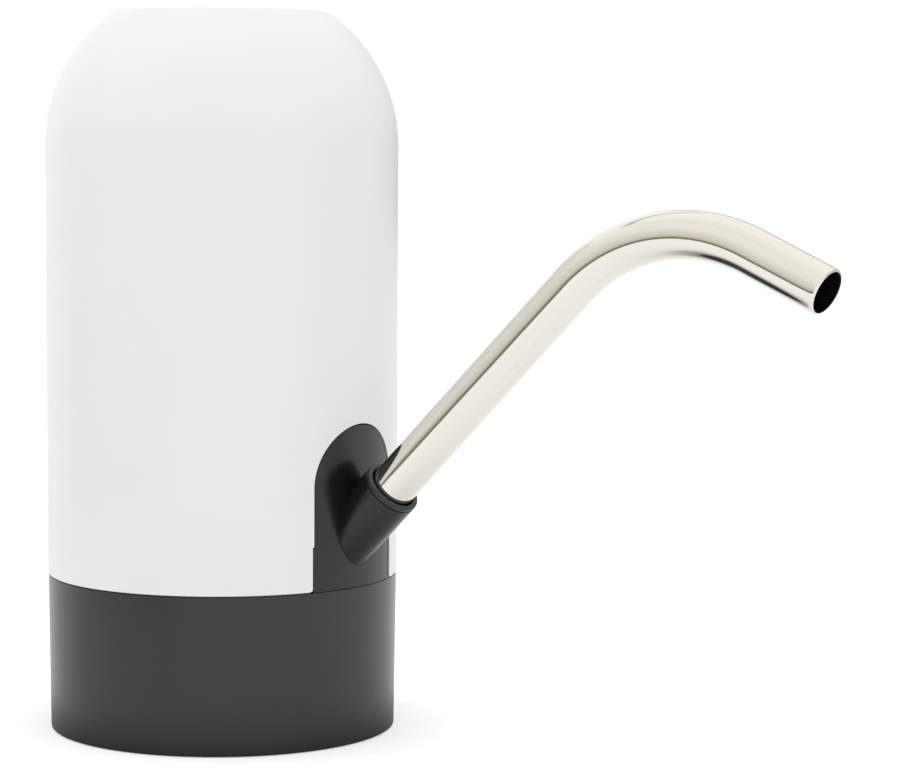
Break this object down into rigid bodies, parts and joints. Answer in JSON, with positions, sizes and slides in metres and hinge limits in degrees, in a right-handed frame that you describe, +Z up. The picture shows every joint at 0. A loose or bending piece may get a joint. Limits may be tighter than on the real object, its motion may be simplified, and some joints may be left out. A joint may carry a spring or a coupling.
{
  "type": "electric water jug pump",
  "caption": "Domed electric pump that stands over the neck of a large water jug, with a pull-off bent steel spout in a slanted socket and a press button in its flat top.",
  "frame": {"origin": "middle of the ceiling inside the collar, where the mouth of the jug's neck stops", "axes": "+X towards the side that the spout points to, +Z up along the body's axis"},
  "size_m": [0.1787, 0.072, 0.147],
  "materials": {
    "white_shell": "satin",
    "black_shell": "satin",
    "inner_frame": "matte",
    "steel": "polished",
    "nickel": "satin",
    "magnet": "matte",
    "rubber": "matte",
    "silicone": "satin",
    "diffuser": "satin",
    "circuit_board": "satin",
    "chip": "satin",
    "lamp": "gloss",
    "gear": "satin",
    "cell": "satin",
    "red_lead": "satin",
    "black_lead": "satin"
  },
  "bodies": {
    "housing": {"base_collar": "black_shell", "neck_socket": "black_shell", "dome_shell": "white_shell", "spout_plate": "black_shell", "plate_screw_1": "nickel", "plate_screw_2": "nickel", "light_ring": "diffuser", "tact_switch": "nickel", "switch_board": "circuit_board", "button_carrier": "inner_frame", "lamp_1": "lamp", "lamp_2": "lamp", "lamp_3": "lamp", "lamp_4": "lamp", "carrier_screw_1": "nickel", "carrier_screw_2": "nickel", "carrier_screw_3": "nickel", "chassis": "inner_frame", "chassis_screw_1": "nickel", "chassis_screw_2": "nickel", "battery_cell": "cell", "battery_tab_negative": "nickel", "battery_tab_positive": "nickel", "control_board": "circuit_board", "charge_chip": "chip", "usb_socket": "nickel", "board_screw_1": "nickel", "board_screw_2": "nickel", "pump_pad": "rubber", "pump_cover": "inner_frame", "pump_body": "inner_frame", "idler_pin": "nickel", "shaft_seal": "rubber", "pump_screw_1": "nickel", "pump_screw_2": "nickel", "pump_screw_3": "nickel", "pump_screw_4": "nickel", "mount_screw_1": "nickel", "mount_screw_2": "nickel", "motor_can": "nickel", "motor_end_cap": "inner_frame", "motor_magnet_1": "magnet", "motor_magnet_2": "magnet", "outlet_hose": "silicone", "hose_clip_1": "nickel", "hose_clip_2": "nickel", "battery_lead_red": "red_lead", "battery_lead_black": "black_lead", "motor_lead_red": "red_lead", "motor_lead_black": "black_lead", "switch_cable": "black_lead"},
    "button": {"button_cap": "white_shell", "switch_plunger": "chip"},
    "spout_seal": {"seal_ring": "rubber"},
    "spout": {"spout_tube": "steel"},
    "rotor": {"motor_shaft": "nickel", "motor_rotor": "nickel", "drive_gear": "gear"},
    "idler": {"idler_gear": "gear"}
  },
  "joints": [
    {"name": "button_press", "type": "slide", "parent": "housing", "child": "button", "axis": [0, 0, -1], "range_m": [0, 0.0008], "stiffness_N_per_m": 1000, "springref_m": -0.0005},
    {"name": "spout_pull", "type": "slide", "parent": "housing", "child": "spout_seal", "axis": [0.7145, 0, 0.6997], "range_m": [0, 0.012]},
    {"name": "spout_turn", "type": "hinge", "parent": "spout_seal", "child": "spout", "pos_m": [0.0432, 0, 0.0298], "axis": [0.7145, 0, 0.6997], "continuous": true},
    {"name": "motor_spin", "type": "hinge", "parent": "housing", "child": "rotor", "pos_m": [-0.00625, -0.01282, 0.0137], "axis": [0, 0, 1], "continuous": true},
    {"name": "idler_spin", "type": "hinge", "parent": "housing", "child": "idler", "pos_m": [-0.00975, -0.00318, 0.0137], "axis": [0, 0, 1], "continuous": true}
  ],
  "couplings": [
    {"joint": "idler_spin", "follows": "motor_spin", "ratio": -1}
  ]
}
